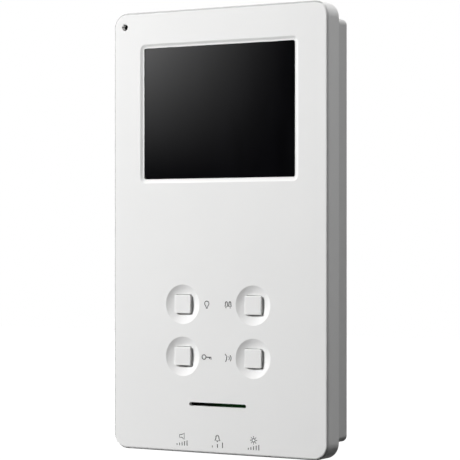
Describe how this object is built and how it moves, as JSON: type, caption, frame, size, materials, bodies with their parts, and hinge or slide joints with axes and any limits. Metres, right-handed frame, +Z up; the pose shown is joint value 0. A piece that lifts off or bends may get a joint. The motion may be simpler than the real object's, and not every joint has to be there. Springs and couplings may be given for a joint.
{
  "type": "video intercom monitor",
  "caption": "Slim hands-free wall monitor for a door-entry system, with a black screen window, square push buttons in round dishes and a hook-on wall plate.",
  "frame": {"origin": "centre of the wall face, where the wall plate and the housing's rim meet the wall", "axes": "+Z up, the front faces -Y, +X is the viewer's right"},
  "size_m": [0.104, 0.0215, 0.186],
  "materials": {
    "white_cover": "fine satin moulded",
    "white_housing": "fine satin moulded",
    "white_button": "satin moulded",
    "zinc_plate": "zinc plated",
    "window_black": "glossy tinted acrylic",
    "black_foam": "closed-cell foam",
    "tray_steel": "tinned",
    "display_glass": "glass with polariser",
    "diffuser_white": "diffusing",
    "ribbon_film": "polyimide film",
    "socket_plastic": "moulded",
    "board_green": "solder mask",
    "chip_black": "moulded",
    "can_aluminium": "satin",
    "coil_black": "ferrite",
    "terminal_green": "moulded",
    "screw_steel": "zinc plated",
    "lens_smoked": "smoked translucent",
    "led_green": "clear resin",
    "rubber_black": "moulded",
    "wheel_grey": "moulded",
    "plunger_plastic": "moulded",
    "speaker_paper": "pressed paper",
    "ferrite": "sintered",
    "contact_brass": "plated"
  },
  "bodies": {
    "wall_plate": {"wall_plate": "zinc_plate"},
    "monitor": {"front_cover": "white_cover", "rear_housing": "white_housing", "screen_window": "window_black", "window_tape": "black_foam", "screen_gasket": "black_foam", "display_tray": "tray_steel", "display_cell": "display_glass", "display_backlight": "diffuser_white", "display_cushion": "black_foam", "display_ribbon": "ribbon_film", "ribbon_socket": "socket_plastic", "main_board": "board_green", "integrated_circuits": "chip_black", "capacitors": "can_aluminium", "line_coil": "coil_black", "terminal_block": "terminal_green", "terminal_screws": "screw_steel", "key_switches": "chip_black", "status_lens": "lens_smoked", "status_leds": "led_green", "microphone": "can_aluminium", "microphone_boot": "rubber_black", "wheel_bases": "socket_plastic", "ring_switch": "tray_steel", "speaker_basket": "tray_steel", "speaker_cone": "speaker_paper", "speaker_magnet": "ferrite", "speaker_foam": "black_foam", "speaker_ring": "black_foam", "speaker_contacts": "contact_brass", "housing_screws": "screw_steel", "board_screws": "screw_steel"},
    "volume_wheel": {"volume_wheel": "wheel_grey"},
    "brightness_wheel": {"brightness_wheel": "wheel_grey"},
    "ring_slider": {"ring_slider": "wheel_grey"},
    "light_button": {"light_button": "white_button", "light_plunger": "plunger_plastic"},
    "intercom_button": {"intercom_button": "white_button", "intercom_plunger": "plunger_plastic"},
    "door_button": {"door_button": "white_button", "door_plunger": "plunger_plastic"},
    "talk_button": {"talk_button": "white_button", "talk_plunger": "plunger_plastic"}
  },
  "joints": [
    {"name": "monitor_lift", "type": "slide", "parent": "wall_plate", "child": "monitor", "axis": [0, 0, 1], "range_m": [0, 0.006]},
    {"name": "light_press", "type": "slide", "parent": "monitor", "child": "light_button", "axis": [0, 1, 0], "range_m": [0, 0.0004], "stiffness_N_per_m": 1500, "springref_m": -0.0005},
    {"name": "intercom_press", "type": "slide", "parent": "monitor", "child": "intercom_button", "axis": [0, 1, 0], "range_m": [0, 0.0004], "stiffness_N_per_m": 1500, "springref_m": -0.0005},
    {"name": "door_press", "type": "slide", "parent": "monitor", "child": "door_button", "axis": [0, 1, 0], "range_m": [0, 0.0004], "stiffness_N_per_m": 1500, "springref_m": -0.0005},
    {"name": "talk_press", "type": "slide", "parent": "monitor", "child": "talk_button", "axis": [0, 1, 0], "range_m": [0, 0.0004], "stiffness_N_per_m": 1500, "springref_m": -0.0005},
    {"name": "volume_turn", "type": "hinge", "parent": "monitor", "child": "volume_wheel", "pos_m": [-0.0174, -0.0175, -0.08575], "axis": [0, 1, 0], "range_deg": [-135, 135]},
    {"name": "brightness_turn", "type": "hinge", "parent": "monitor", "child": "brightness_wheel", "pos_m": [0.0174, -0.0175, -0.08575], "axis": [0, 1, 0], "range_deg": [-135, 135]},
    {"name": "ring_select", "type": "slide", "parent": "monitor", "child": "ring_slider", "axis": [1, 0, 0], "range_m": [-0.002, 0.002]}
  ]
}
